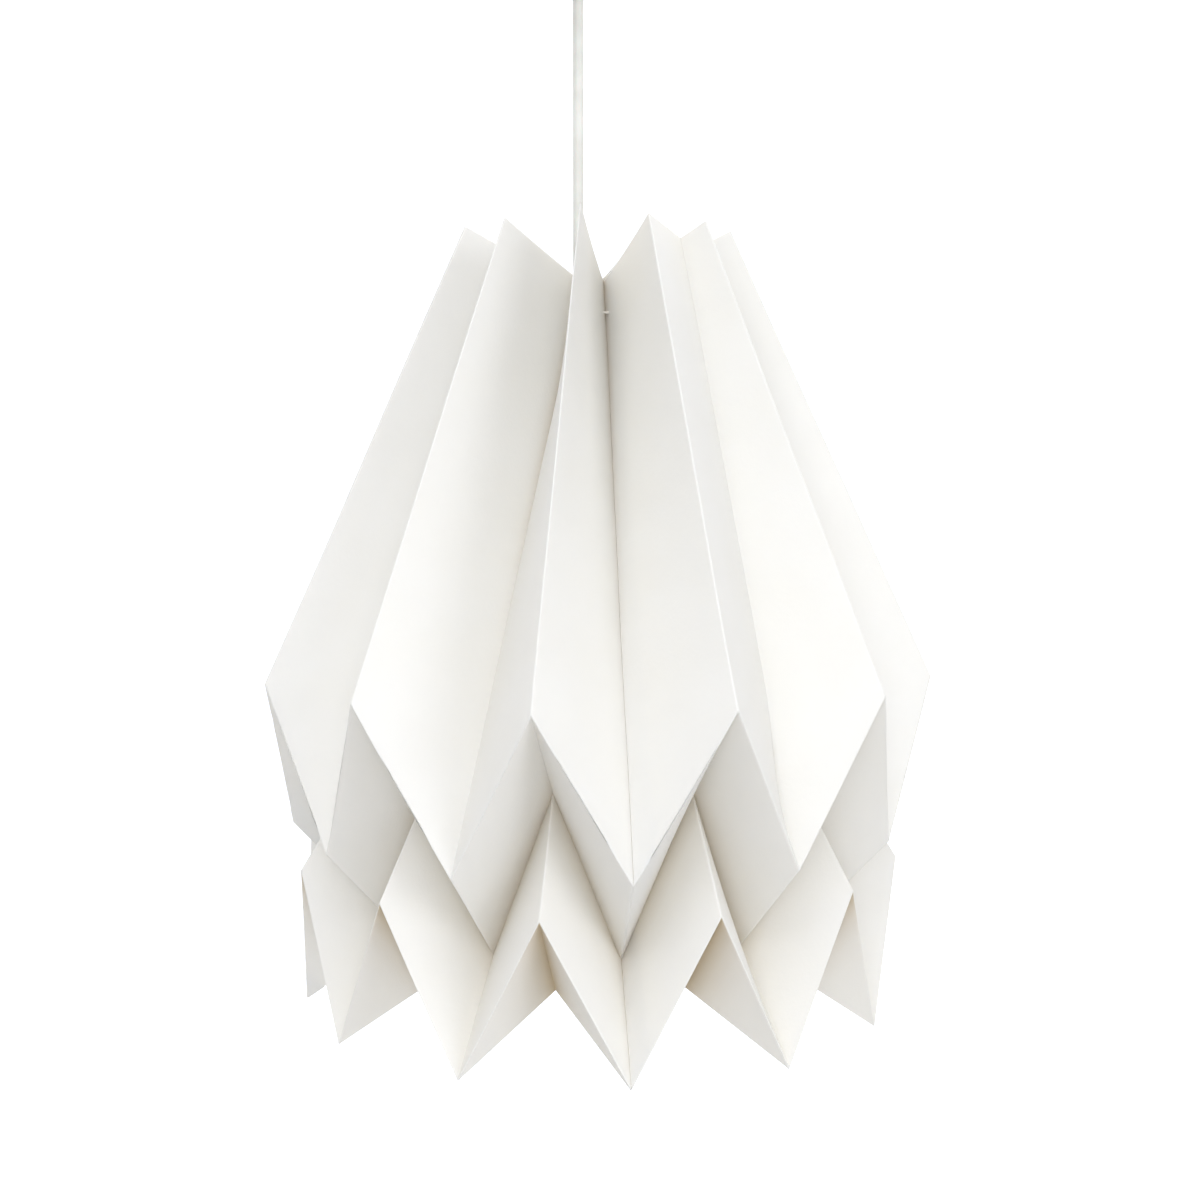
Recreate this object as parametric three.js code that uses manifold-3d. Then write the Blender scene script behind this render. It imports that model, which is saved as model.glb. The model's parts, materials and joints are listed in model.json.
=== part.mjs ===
// A pleated paper pendant lampshade hanging from a ceiling rose: twelve accordion pleats, two zigzag
// tucks, a lampholder and bulb inside, and a flexible cord. Millimetres, +Z up, the origin on the ceiling.

import * as THREE from 'three';
import { mergeVertices } from 'three/addons/utils/BufferGeometryUtils.js';
import Module from 'manifold-3d';

const wasm = await Module();
wasm.setup();

// ---------------------------------------------------------------- driving dimensions

const WAIST_Z = -363;              // height of the widest ridge corners below the ceiling
const RIDGES = 12;
const PAPER = 0.6;                 // thickness of the folded card
const SHADE_OFFSET = 8;            // the shade hangs this far off the cord's axis, towards +X
const SHADE_TURN = -8.9;           // degrees from -Y to the foremost ridge, about the shade's axis
const SHEETS = [
  'paper_sheet_front_left', 'paper_sheet_front_right',
  'paper_sheet_back_right', 'paper_sheet_back_left',
];
const RIDGES_PER_SHEET = RIDGES / SHEETS.length;
const FIRST_RIDGE = -2;            // ridges are counted from the foremost one, towards +X

// Each corner of the folded card: radius from the shade's axis, and height above the waist.
const RIDGE = {
  tip: [64, 208],
  waist: [158.5, 0],
  tuck: [113.5, -39],
  hip: [143.5, -86],
  hem: [106, -125],
};
const VALLEY = {
  tip: [14.5, 183.5],
  drop: [144.5, -71],
  pinch: [106.5, -112],
  point: [139, -156.5],
};
const FOLD_MARGIN = 0.12;          // share of a panel's width kept for the turn at each fold
const SEAM_GAP = 0.03;             // share of a panel's width left open where neighbouring sheets meet

const CORD_R = 2.5;
const CORD_SIDES = 10;
const CORD_BORE_R = 2.8;           // hole for the cord in every piece that it runs through
const GAP = 0.3;                   // clearance between pieces that touch

const BRACKET = [66, 16, 1.5];     // length, width and thickness
const BRACKET_FLANGE = 5;          // depth of its two turned-down ends
const BRACKET_SCREW_X = 25;
const ROSE_R = 40;
const ROSE_DEPTH = 28;
const ROSE_WALL = 2;
const ROSE_CORNER = 9;
const NUT_R = 8.2;                 // lock nuts, across their corners
const STEM_R = 4.9;                // threaded stems of the two cord grips
const GRIP_R = 8.4;
const GRIP_LENGTH = 13;            // rose cord grip, below the cup
const BELL_R = 5.3;                // inside of the grip's bell mouth
const BELL_DEPTH = 3.5;            // of the mouth, below the point where the cord bends
const GRIP_SCREW_R = 1.4;
const GRIP_SCREW_START = 3.1;      // distance from the cord's axis to a grip screw's tip
const SWING_Z = -ROSE_DEPTH - GAP - GRIP_LENGTH;   // the cord bends here when the lamp swings
const BEND_R = 2.3;                // the ball of cord that flexes there

const DISC_R = 36;
const DISC_HOLE_R = 16;
const DISC_THICK = 1.4;
const DISC_EASE = 1.2;             // how far the valley folds stand off the disc's rim
const STRING_R = 27;               // radius of the gathering string's loop
const STRING_INSET = 5;            // the loop crosses the panels this far outside the valley folds
const STRING_THICK_R = 0.6;
const STRING_HOLE_R = 1.4;
const KNOT_R = 1.9;
const TAIL = { reach: 7, spread: 2, drop: 9 };

const HOLDER_CAP_R = 20;
const HOLDER_RIM_R = 22.5;
const HOLDER_CAP_DEPTH = 25;
const HOLDER_BODY_DEPTH = 34;
const HOLDER_WALL = 2;
const HOLDER_GRIP_R = 6.6;
const HOLDER_GRIP_LENGTH = 22;
const INSERT_DEPTH = 12;           // from the top of the holder's body to the insert's lower face
const SOCKET_R = 14.2;             // bore of the lampholder's skirt
const SHELL_R = 13.9;
const SHELL_BORE_R = 13.4;
const SHELL_LENGTH = 19;
const TONGUE = [14, 4, 0.5];
const TERMINAL_X = 9;
const TERMINAL_R = 1.7;
const BULB_CAP_R = 13;
const BULB_CAP_LENGTH = 20;
const BULB_LENGTH = 108;
const BULB_TIP_LENGTH = 2;
const BULB_INSULATOR_LENGTH = 3;
const GLOBE_R = 30;
const GLOBE_EDGE = 15;             // the globe's rim stands this far above its centre

// ---------------------------------------------------------------- solids and meshes

function toSolid(geometry) {
  const bare = geometry.clone();
  bare.deleteAttribute('normal');
  bare.deleteAttribute('uv');
  const merged = mergeVertices(bare, 1e-4);
  const index = merged.index.array;
  const kept = [];
  for (let i = 0; i < index.length; i += 3) {
    const [a, b, c] = [index[i], index[i + 1], index[i + 2]];
    if (a !== b && b !== c && c !== a) kept.push(a, b, c);
  }
  const vertices = new Float32Array(merged.attributes.position.array);
  if (signedVolume(vertices, kept) < 0) {
    for (let i = 0; i < kept.length; i += 3) [kept[i], kept[i + 1]] = [kept[i + 1], kept[i]];
  }
  const mesh = new wasm.Mesh({ numProp: 3, vertProperties: vertices, triVerts: new Uint32Array(kept) });
  return new wasm.Manifold(mesh);
}

function signedVolume(vertices, index) {
  const corner = (i) => new THREE.Vector3().fromArray(vertices, 3 * index[i]);
  let volume = 0;
  for (let i = 0; i < index.length; i += 3) {
    volume += corner(i).dot(corner(i + 1).cross(corner(i + 2))) / 6;
  }
  return volume;
}

function toGeometry(solid) {
  const mesh = solid.getMesh();
  const geometry = new THREE.BufferGeometry();
  geometry.setAttribute('position', new THREE.BufferAttribute(new Float32Array(mesh.vertProperties), 3));
  geometry.setIndex(new THREE.BufferAttribute(new Uint32Array(mesh.triVerts), 1));
  return geometry;
}

const part = new THREE.Group();
part.name = 'pleated_pendant_shade';

function addPiece(name, solid, look) {
  const geometry = toGeometry(solid);
  geometry.computeVertexNormals();
  const mesh = new THREE.Mesh(geometry, new THREE.MeshStandardMaterial(look));
  mesh.name = name;
  part.add(mesh);
}

// A turned shape about the Z axis through (x, 0). The outline is [radius, z] points, closed on itself.
function turned(outline, segments = 32, x = 0) {
  const points = [...outline, outline[0]].map(([r, z]) => new THREE.Vector2(r, z));
  return toSolid(new THREE.LatheGeometry(points, segments).rotateX(Math.PI / 2).translate(x, 0, 0));
}

function rod(radius, from, to, sides = 16) {
  const a = new THREE.Vector3(...from);
  const b = new THREE.Vector3(...to);
  const turn = new THREE.Quaternion().setFromUnitVectors(
    new THREE.Vector3(0, 1, 0), b.clone().sub(a).normalize());
  const middle = a.clone().add(b).multiplyScalar(0.5);
  const geometry = new THREE.CylinderGeometry(radius, radius, a.distanceTo(b), sides);
  return toSolid(geometry.applyQuaternion(turn).translate(middle.x, middle.y, middle.z));
}

function hexNut(boreR, bottom, top) {
  const bore = rod(boreR, [0, 0, bottom - 1], [0, 0, top + 1], 24);
  return rod(NUT_R, [0, 0, bottom], [0, 0, top], 6).subtract(bore);
}

function block(size, centre) {
  return toSolid(new THREE.BoxGeometry(...size).translate(...centre));
}

// The corners of an arc as [radius, z] points, from one angle to another, in degrees.
function arc(centreR, centreZ, radius, from, to, steps) {
  const points = [];
  for (let i = 0; i <= steps; i += 1) {
    const angle = THREE.MathUtils.degToRad(from + (to - from) * i / steps);
    points.push([centreR + radius * Math.cos(angle), centreZ + radius * Math.sin(angle)]);
  }
  return points;
}

const LOOK = {
  paper: { color: 0xf4f2ec, roughness: 0.85, metalness: 0 },
  whitePlastic: { color: 0xeeece6, roughness: 0.45, metalness: 0 },
  cord: { color: 0xe4e4dc, roughness: 0.5, metalness: 0 },
  string: { color: 0xe6e1d3, roughness: 0.9, metalness: 0 },
  steel: { color: 0xb9bcc0, roughness: 0.35, metalness: 1 },
  brass: { color: 0xc9a75a, roughness: 0.35, metalness: 1 },
  ceramic: { color: 0xe9e7e0, roughness: 0.3, metalness: 0 },
  aluminium: { color: 0xcfd1d3, roughness: 0.35, metalness: 1 },
  opal: { color: 0xf7f6f2, roughness: 0.3, metalness: 0 },
  blackPlastic: { color: 0x1b1b1c, roughness: 0.4, metalness: 0 },
};

// ---------------------------------------------------------------- the folded card

// A point on a panel: across is 0 on the ridge fold and 1 on the valley fold.
function panelPoint(ridgeCorner, valleyCorner, ridgeAngle, side, across) {
  const at = ([radius, height], angle) => new THREE.Vector3(
    SHADE_OFFSET + radius * Math.sin(angle), -radius * Math.cos(angle), WAIST_Z + height);
  const from = at(ridgeCorner, ridgeAngle);
  const to = at(valleyCorner, ridgeAngle + side * Math.PI / RIDGES);
  return from.lerp(to, across);
}

// The lines that cross every panel, from the top edge to the hem, as [ridge corner, valley corner].
const CROSSINGS = [
  [RIDGE.tip, VALLEY.tip],
  [RIDGE.waist, VALLEY.drop],
  [RIDGE.tuck, VALLEY.pinch],
  [RIDGE.hip, VALLEY.point],
  [RIDGE.hem, VALLEY.point],
];

// Columns of one sheet, from its first valley fold to its last. Neighbouring panels share a column.
function sheetColumns(firstRidge, ridgeTotal) {
  const columns = [];
  for (let i = 0; i < ridgeTotal; i += 1) {
    const angle = THREE.MathUtils.degToRad(SHADE_TURN + (firstRidge + i) * 360 / RIDGES);
    const start = i === 0 ? 1 - SEAM_GAP : 1;
    columns.push([angle, -1, start], [angle, -1, 1 - FOLD_MARGIN], [angle, -1, FOLD_MARGIN], [angle, -1, 0]);
    columns.push([angle, 1, FOLD_MARGIN], [angle, 1, 1 - FOLD_MARGIN]);
    if (i === ridgeTotal - 1) columns.push([angle, 1, 1 - SEAM_GAP]);
  }
  return columns.map(([angle, side, across]) => CROSSINGS.map(
    ([ridgeCorner, valleyCorner]) => panelPoint(ridgeCorner, valleyCorner, angle, side, across)));
}

const SHIFT_PASSES = 60;
const SHIFT_LIMIT = 2.2;           // times half the card's thickness

// Moves a corner of the mid surface to one face of the card: the shift that stands half the thickness
// off every facet around the corner, kept short where a fold is nearly shut.
function faceShift(normals, half) {
  const shift = new THREE.Vector3();
  for (let pass = 0; pass < SHIFT_PASSES; pass += 1) {
    for (const normal of normals) shift.addScaledVector(normal, 0.5 * (half - shift.dot(normal)));
  }
  return shift.clampLength(0, SHIFT_LIMIT * half);
}

function cardSheet(firstRidge, ridgeTotal) {
  const columns = sheetColumns(firstRidge, ridgeTotal);
  const rows = CROSSINGS.length;
  const points = columns.flat();
  const id = (column, row) => column * rows + row;
  const facets = [];
  for (let c = 0; c + 1 < columns.length; c += 1) {
    for (let r = 0; r + 1 < rows; r += 1) {
      const quad = [id(c, r), id(c, r + 1), id(c + 1, r + 1), id(c + 1, r)];
      facets.push([quad[0], quad[1], quad[2]], [quad[0], quad[2], quad[3]]);
    }
  }
  const size = ([a, b, c]) => points[b].clone().sub(points[a]).cross(points[c].clone().sub(points[a]));
  const solidFacets = facets.filter((facet) => size(facet).length() > 1e-6);
  const home = points.map((point) => points.findIndex((other) => other.distanceTo(point) < 1e-6));
  const around = points.map(() => []);
  for (const facet of solidFacets) {
    const normal = size(facet).normalize();
    for (const corner of facet) around[home[corner]].push(normal);
  }
  const shifts = home.map((corner) => faceShift(around[corner], PAPER / 2));
  const outer = points.map((point, i) => point.clone().add(shifts[i]));
  const inner = points.map((point, i) => point.clone().sub(shifts[i]));
  const faces = [];
  for (const [a, b, c] of solidFacets) {
    faces.push([outer[a], outer[b], outer[c]], [inner[a], inner[c], inner[b]]);
  }
  const wall = (a, b) => faces.push([outer[b], outer[a], inner[a]], [outer[b], inner[a], inner[b]]);
  for (let c = 0; c + 1 < columns.length; c += 1) {
    wall(id(c + 1, 0), id(c, 0));
    wall(id(c, rows - 1), id(c + 1, rows - 1));
  }
  for (let r = 0; r + 1 < rows; r += 1) {
    wall(id(0, r), id(0, r + 1));
    wall(id(columns.length - 1, r + 1), id(columns.length - 1, r));
  }
  const geometry = new THREE.BufferGeometry().setFromPoints(faces.flat());
  geometry.setIndex(faces.flat().map((point, i) => i));
  return toSolid(geometry);
}

// The height above the waist where the valley folds have a given radius.
function valleyHeight(radius) {
  const [topR, topZ] = VALLEY.tip;
  const [lowR, lowZ] = VALLEY.drop;
  return topZ - (radius - topR) * (topZ - lowZ) / (lowR - topR);
}

const stringZ = WAIST_Z + valleyHeight(STRING_R - STRING_INSET);
const stringLoop = (radius) => toSolid(
  new THREE.TorusGeometry(STRING_R, radius, 6, 36).translate(SHADE_OFFSET, 0, stringZ));

function shade() {
  const holes = stringLoop(STRING_HOLE_R);
  SHEETS.forEach((name, i) => {
    const firstRidge = FIRST_RIDGE + i * RIDGES_PER_SHEET;
    addPiece(name, cardSheet(firstRidge, RIDGES_PER_SHEET).subtract(holes), LOOK.paper);
  });
  const angle = THREE.MathUtils.degToRad(SHADE_TURN + 180);
  const away = new THREE.Vector3(Math.sin(angle), -Math.cos(angle), 0);
  const aside = new THREE.Vector3(Math.cos(angle), Math.sin(angle), 0);
  const knotAt = new THREE.Vector3(SHADE_OFFSET, 0, stringZ).addScaledVector(away, STRING_R);
  const knot = toSolid(new THREE.SphereGeometry(KNOT_R, 10, 8).translate(...knotAt));
  const tail = (side) => {
    const end = knotAt.clone().addScaledVector(away, TAIL.reach).addScaledVector(aside, side * TAIL.spread);
    return rod(STRING_THICK_R, knotAt.toArray(), end.setZ(stringZ - TAIL.drop).toArray(), 6);
  };
  addPiece('gather_string', stringLoop(STRING_THICK_R).add(knot).add(tail(1)).add(tail(-1)), LOOK.string);
}

const discTop = WAIST_Z + valleyHeight(DISC_R + DISC_EASE);
const holderTop = discTop - DISC_THICK - GAP;

function carrierDisc() {
  const outline = [
    [DISC_HOLE_R, discTop - DISC_THICK], [DISC_R, discTop - DISC_THICK],
    [DISC_R, discTop], [DISC_HOLE_R, discTop],
  ];
  addPiece('carrier_disc', turned(outline, 36, SHADE_OFFSET), LOOK.whitePlastic);
}

// ---------------------------------------------------------------- ceiling fittings

function ceilingBracket() {
  const [length, width, thick] = BRACKET;
  const screwHoleR = 2.2;
  let plate = block(BRACKET, [0, 0, -thick / 2]);
  for (const side of [-1, 1]) {
    const x = side * BRACKET_SCREW_X;
    const flangeX = side * (length - thick) / 2;
    const flange = block([thick, width, BRACKET_FLANGE], [flangeX, 0, -BRACKET_FLANGE / 2]);
    plate = plate.subtract(rod(screwHoleR, [x, 0, 1], [x, 0, -thick - 1])).add(flange);
  }
  addPiece('ceiling_bracket', plate, LOOK.steel);
  addPiece('bracket_screw_left', bracketScrew(-BRACKET_SCREW_X), LOOK.steel);
  addPiece('bracket_screw_right', bracketScrew(BRACKET_SCREW_X), LOOK.steel);
}

// A slotted pan-head screw up into the ceiling, cut off at the ceiling's plane.
function bracketScrew(x) {
  const headTop = -BRACKET[2] - GAP;
  const headR = 3.9;
  const headBottom = headTop - 2.4;
  const shankR = 1.9;
  const screw = turned([
    [0, headBottom], [headR - 0.7, headBottom + 0.3], [headR, headTop - 1], [headR, headTop],
    [shankR, headTop], [shankR, 0], [0, 0],
  ], 20, x);
  return screw.subtract(block([5, 0.9, 2], [x, 0, headBottom]));
}

function cordClamp() {
  const top = -BRACKET[2] - GAP;
  const size = [12, 12, 9];
  const boreTop = top - 3;
  const body = block(size, [0, 0, top - size[2] / 2]);
  const bore = rod(CORD_BORE_R, [0, 0, boreTop], [0, 0, top - size[2] - 1]);
  addPiece('cord_clamp', body.subtract(bore), LOOK.whitePlastic);
  return boreTop - GAP;
}

function terminalBlock() {
  const top = -BRACKET[2] - GAP;
  const size = [9, 22, 10];
  const x = -14.5;
  const pitch = 6.5;
  const wellR = 1.6;
  const wellDepth = 3;
  const bottom = top - size[2];
  let body = block(size, [x, 0, top - size[2] / 2]);
  for (const y of [-pitch, 0, pitch]) {
    body = body.subtract(rod(wellR, [x, y, bottom - 1], [x, y, bottom + wellDepth], 12));
  }
  addPiece('terminal_block', body, LOOK.whitePlastic);
}

function roseCup() {
  const centreR = ROSE_R - ROSE_CORNER;
  const centreZ = -ROSE_DEPTH + ROSE_CORNER;
  const outside = arc(centreR, centreZ, ROSE_CORNER, -90, 0, 4);
  const inside = arc(centreR, centreZ, ROSE_CORNER - ROSE_WALL, 0, -90, 4);
  const holeR = STEM_R + GAP;
  addPiece('rose_cup', turned([
    [holeR, -ROSE_DEPTH], ...outside, [ROSE_R, 0], [ROSE_R - ROSE_WALL, 0],
    ...inside, [holeR, -ROSE_DEPTH + ROSE_WALL],
  ], 40), LOOK.whitePlastic);
}

// A slotted grub screw along Y, with its tip near the cord, and the hole that it turns in.
function gripScrew(z, tailY) {
  const hole = rod(GRIP_SCREW_R + GAP, [0, 2, z], [0, tailY + 1, z], 12);
  const slot = block([0.5, 1.2, 2 * GRIP_SCREW_R + 0.2], [0, tailY, z]);
  const screw = rod(GRIP_SCREW_R, [0, GRIP_SCREW_START, z], [0, tailY, z], 12).subtract(slot);
  return { hole, screw };
}

function roseGrip() {
  const top = -ROSE_DEPTH - GAP;
  const stemTop = -ROSE_DEPTH + 7;
  const mouth = SWING_Z - BELL_DEPTH;
  const mouthR = BELL_R + 0.9;
  const bell = arc(0, SWING_Z, BELL_R, 58, 0, 4);
  const grip = turned([
    [BELL_R, mouth], [mouthR, mouth], [GRIP_R - 1, SWING_Z + 5], [GRIP_R, SWING_Z + 7], [GRIP_R, top],
    [STEM_R, top], [STEM_R, stemTop], [CORD_BORE_R, stemTop], ...bell,
  ], 24);
  const screwZ = (top + SWING_Z) / 2 + 1.8;
  const { hole, screw } = gripScrew(screwZ, GRIP_R + 0.2);
  addPiece('rose_cord_grip', grip.subtract(hole), LOOK.whitePlastic);
  addPiece('rose_grip_screw', screw, LOOK.whitePlastic);
  const nutBottom = -ROSE_DEPTH + ROSE_WALL + GAP;
  addPiece('rose_lock_nut', hexNut(STEM_R + GAP, nutBottom, stemTop - 0.5), LOOK.steel);
}

// ---------------------------------------------------------------- the cord

class StraightRun extends THREE.Curve {
  constructor(from, to) {
    super();
    this.from = from;
    this.to = to;
  }

  getPoint(t, target = new THREE.Vector3()) {
    return target.lerpVectors(this.from, this.to, t);
  }
}

function cordRun(fromZ, toZ, steps) {
  const section = new THREE.Shape();
  for (let i = 0; i < CORD_SIDES; i += 1) {
    const angle = i * 2 * Math.PI / CORD_SIDES;
    const point = [CORD_R * Math.cos(angle), CORD_R * Math.sin(angle)];
    if (i === 0) section.moveTo(...point);
    else section.lineTo(...point);
  }
  const path = new StraightRun(new THREE.Vector3(0, 0, fromZ), new THREE.Vector3(0, 0, toZ));
  return toSolid(new THREE.ExtrudeGeometry(section, { steps, extrudePath: path, bevelEnabled: false }));
}

function cord(clampSeat) {
  const insideHolder = 9;
  addPiece('cord_tail', cordRun(SWING_Z + BEND_R + GAP, clampSeat, 3), LOOK.cord);
  addPiece('cord_bend', toSolid(new THREE.SphereGeometry(BEND_R, 12, 8).translate(0, 0, SWING_Z)), LOOK.cord);
  addPiece('cord', cordRun(holderTop - insideHolder, SWING_Z - BEND_R - GAP, 14), LOOK.cord);
}

// ---------------------------------------------------------------- the lampholder

function holderGrip() {
  const stemBottom = holderTop - 7;
  const shoulder = holderTop + GAP;
  const gripTop = holderTop + HOLDER_GRIP_LENGTH;
  const stemR = STEM_R - 0.1;
  const grip = turned([
    [CORD_BORE_R, stemBottom], [stemR, stemBottom], [stemR, shoulder], [HOLDER_GRIP_R, shoulder],
    [HOLDER_GRIP_R, gripTop - 11], [HOLDER_GRIP_R - 0.8, gripTop - 9], [CORD_BORE_R + 1.4, gripTop],
    [CORD_BORE_R, gripTop],
  ], 24);
  const { hole, screw } = gripScrew(shoulder + 6.2, HOLDER_GRIP_R + 0.3);
  addPiece('holder_cord_grip', grip.subtract(hole), LOOK.whitePlastic);
  addPiece('holder_grip_screw', screw, LOOK.whitePlastic);
  const nutTop = holderTop - HOLDER_WALL - GAP;
  addPiece('holder_lock_nut', hexNut(stemR + GAP, nutTop - 3, nutTop), LOOK.steel);
}

const bodyTop = holderTop - HOLDER_CAP_DEPTH - GAP;
const bodyBottom = bodyTop - HOLDER_BODY_DEPTH;
const insertBottom = bodyTop - INSERT_DEPTH;

function holderShell() {
  const rimBottom = holderTop - HOLDER_CAP_DEPTH;
  const innerTop = holderTop - HOLDER_WALL;
  const holeR = STEM_R + GAP;
  addPiece('holder_cap', turned([
    [holeR, innerTop], [HOLDER_CAP_R - HOLDER_WALL, innerTop], [HOLDER_RIM_R - HOLDER_WALL, rimBottom],
    [HOLDER_RIM_R, rimBottom], [HOLDER_RIM_R, rimBottom + 4], [HOLDER_CAP_R + 1, rimBottom + 6],
    [HOLDER_CAP_R, holderTop - 1], [HOLDER_CAP_R - 1, holderTop], [holeR, holderTop],
  ], 36), LOOK.whitePlastic);
  const bodyR = HOLDER_CAP_R + 0.5;
  const upperBoreR = 18;
  const ledge = insertBottom - GAP;
  addPiece('holder_body', turned([
    [SOCKET_R, bodyBottom], [bodyR - 1.5, bodyBottom], [bodyR - 0.5, bodyBottom + 1], [bodyR, bodyTop - 5],
    [HOLDER_RIM_R, bodyTop - 4], [HOLDER_RIM_R, bodyTop], [upperBoreR, bodyTop], [upperBoreR, ledge],
    [SOCKET_R, ledge],
  ], 36), LOOK.whitePlastic);
}

function terminalScrew(x) {
  const top = bodyTop - 1.5;
  const shank = rod(TERMINAL_R, [x, 0, bodyTop - 7.6], [x, 0, top], 14);
  return shank.subtract(block([2 * TERMINAL_R + 0.2, 0.7, 1.6], [x, 0, top]));
}

function holderContacts() {
  const insertR = 17.6;
  const insertTop = bodyTop - 2;
  let insert = turned([[0, insertBottom], [insertR, insertBottom], [insertR, insertTop], [0, insertTop]], 28);
  for (const x of [-TERMINAL_X, TERMINAL_X]) {
    insert = insert.subtract(rod(TERMINAL_R + 0.4, [x, 0, bodyTop - 8], [x, 0, bodyTop], 14));
  }
  addPiece('holder_insert', insert, LOOK.ceramic);
  addPiece('terminal_screw_live', terminalScrew(-TERMINAL_X), LOOK.brass);
  addPiece('terminal_screw_neutral', terminalScrew(TERMINAL_X), LOOK.brass);
  const shellTop = insertBottom - 2 * GAP;
  const shellBottom = shellTop - SHELL_LENGTH;
  addPiece('contact_shell', turned([
    [SHELL_BORE_R, shellBottom], [SHELL_R, shellBottom], [SHELL_R, shellTop], [SHELL_BORE_R, shellTop],
  ], 36), LOOK.brass);
  addPiece('contact_tongue', block(TONGUE, [0, 0, insertBottom - GAP - TONGUE[2] / 2]), LOOK.brass);
}

// ---------------------------------------------------------------- the bulb

function bulb() {
  const tipTop = insertBottom - GAP - TONGUE[2] - GAP;
  const tipBottom = tipTop - BULB_TIP_LENGTH;
  addPiece('bulb_tip', turned([
    [0, tipBottom], [4, tipBottom], [4.4, tipTop - 0.6], [2.6, tipTop], [0, tipTop],
  ], 20), LOOK.brass);
  const seat = tipBottom - GAP;
  const seatBottom = seat - BULB_INSULATOR_LENGTH;
  addPiece('bulb_insulator', turned([
    [0, seatBottom], [8, seatBottom], [7, seat - 1.4], [5, seat], [0, seat],
  ], 24), LOOK.blackPlastic);
  const capTop = seatBottom - GAP;
  const capBottom = capTop - BULB_CAP_LENGTH;
  addPiece('bulb_screw_cap', turned([
    [0, capBottom], [BULB_CAP_R, capBottom], [BULB_CAP_R, capTop - 2], [BULB_CAP_R - 2, capTop], [0, capTop],
  ], 32), LOOK.aluminium);
  const neckTop = capBottom - GAP;
  const globeZ = tipTop - BULB_LENGTH + GLOBE_R;
  const joinZ = globeZ + GLOBE_EDGE;
  const joinR = Math.sqrt(GLOBE_R ** 2 - GLOBE_EDGE ** 2);
  addPiece('bulb_housing', turned([
    [0, joinZ], [joinR - 0.2, joinZ], [22.5, joinZ + 11], [16.5, neckTop - 5], [14.5, neckTop], [0, neckTop],
  ], 32), LOOK.whitePlastic);
  const rim = joinZ - GAP;
  const shell = arc(0, globeZ, GLOBE_R, -90, 30, 12).map(([r, z]) => [Math.max(r, 0), Math.min(z, rim)]);
  addPiece('bulb_globe', turned([...shell, [0, rim]], 32), LOOK.opal);
}

ceilingBracket();
const clampSeat = cordClamp();
terminalBlock();
roseCup();
roseGrip();
cord(clampSeat);
holderGrip();
holderShell();
holderContacts();
bulb();
carrierDisc();
shade();

export default part;
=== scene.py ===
"""A pleated paper pendant lampshade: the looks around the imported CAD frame.

Metres, +Z up, the origin on the ceiling, and the camera looks along +Y.
"""
import json
import math

import bmesh
import bpy
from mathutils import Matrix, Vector, noise


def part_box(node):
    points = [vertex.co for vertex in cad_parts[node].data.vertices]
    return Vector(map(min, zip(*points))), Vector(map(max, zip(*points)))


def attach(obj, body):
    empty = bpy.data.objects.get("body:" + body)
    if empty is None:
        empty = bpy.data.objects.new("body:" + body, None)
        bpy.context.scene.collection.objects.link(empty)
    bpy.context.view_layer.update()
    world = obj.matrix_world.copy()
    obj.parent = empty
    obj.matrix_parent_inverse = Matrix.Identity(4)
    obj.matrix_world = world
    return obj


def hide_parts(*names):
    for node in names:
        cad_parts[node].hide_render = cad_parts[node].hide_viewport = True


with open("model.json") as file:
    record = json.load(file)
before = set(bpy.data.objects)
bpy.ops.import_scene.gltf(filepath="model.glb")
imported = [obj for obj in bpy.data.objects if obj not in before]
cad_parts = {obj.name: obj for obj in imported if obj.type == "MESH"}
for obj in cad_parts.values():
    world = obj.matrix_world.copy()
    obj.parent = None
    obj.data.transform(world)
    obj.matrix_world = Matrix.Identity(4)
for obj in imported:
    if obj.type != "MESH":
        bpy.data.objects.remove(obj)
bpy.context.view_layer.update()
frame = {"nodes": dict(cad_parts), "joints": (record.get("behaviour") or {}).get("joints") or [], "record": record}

MM = 0.001
JOINTS = {joint["name"]: joint for joint in frame["joints"]}
AXIS_X = JOINTS["shade_turn"]["pos_m"][0]      # the shade's axis stands this far from the cord's
SWING_Z = JOINTS["swing_side"]["pos_m"][2]     # height where the cord bends
SHEETS = [
    "paper_sheet_front_left", "paper_sheet_front_right",
    "paper_sheet_back_right", "paper_sheet_back_left",
]

CORD_DIAMETER = 5 * MM
CORD_R = CORD_DIAMETER / 2
CORD_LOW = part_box("holder_cap")[1].z - 1 * MM   # inside the lampholder's cord grip
CORD_HIGH = SWING_Z - 2.6 * MM                  # inside the bell mouth of the rose's cord grip
CORD_POINTS = 20
CORD_EDGE = 0.2 * MM

# ---------------------------------------------------------------- shapes

TURN_STEPS = 96
SIDE_STEPS = 70                                 # rows up the side of a thread
EDGE = 0.35 * MM                                # rounding of moulded and turned edges
SHARP = math.radians(35)                        # a steeper edge than this is shaded as sharp
CORNER_SHARE = 0.45                             # a rounding takes at most this share of a side
ON_AXIS = 1e-6                                  # a smaller radius than this is a single point


def mark_sharp(mesh):
    for edge in mesh.edges:
        edge.smooth = len(edge.link_faces) == 2 and edge.calc_face_angle() < SHARP


def new_object(name, mesh):
    """An object from a bmesh, with its sharp edges marked."""
    bmesh.ops.recalc_face_normals(mesh, faces=mesh.faces)
    mark_sharp(mesh)
    for face in mesh.faces:
        face.smooth = True
    data = bpy.data.meshes.new(name)
    mesh.to_mesh(data)
    mesh.free()
    obj = bpy.data.objects.new(name, data)
    bpy.context.scene.collection.objects.link(obj)
    return obj


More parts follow.
